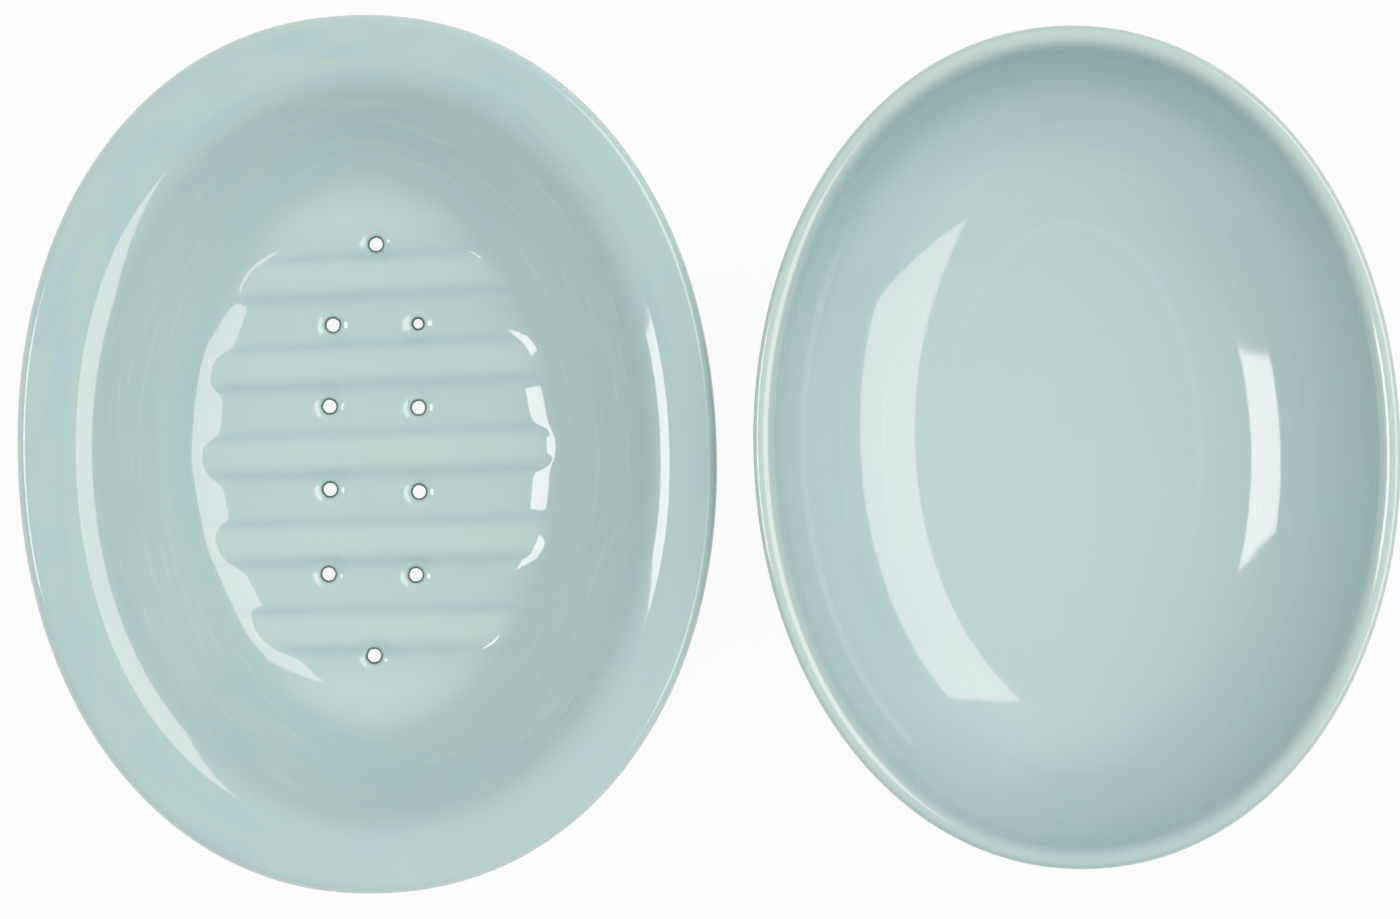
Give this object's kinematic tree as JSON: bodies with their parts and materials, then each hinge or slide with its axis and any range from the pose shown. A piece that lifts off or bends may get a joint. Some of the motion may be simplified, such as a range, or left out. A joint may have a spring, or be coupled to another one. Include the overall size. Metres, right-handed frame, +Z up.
{
  "type": "soap dish",
  "caption": "Oval soap dish in loose pieces of glazed ceramic: a ridged, drilled strainer for the soap and the bowl it drains into, set side by side.",
  "frame": {"origin": "middle of the two pieces' shared box, at table height", "axes": "+Z up; +X from the strainer towards the bowl; +Y along the length of both pieces, away from the viewer"},
  "size_m": [0.2198, 0.14, 0.04],
  "materials": {
    "glaze": "glossy pale blue-green glaze, bare buff clay on the foot rings"
  },
  "bodies": {
    "bowl_body": {"bowl": "glaze"},
    "strainer_body": {"strainer": "glaze"}
  },
  "joints": [
    {"name": "strainer_lift", "type": "slide", "parent": "bowl_body", "child": "strainer_body", "axis": [0, 0, 1], "range_m": [0, 0.06]}
  ]
}
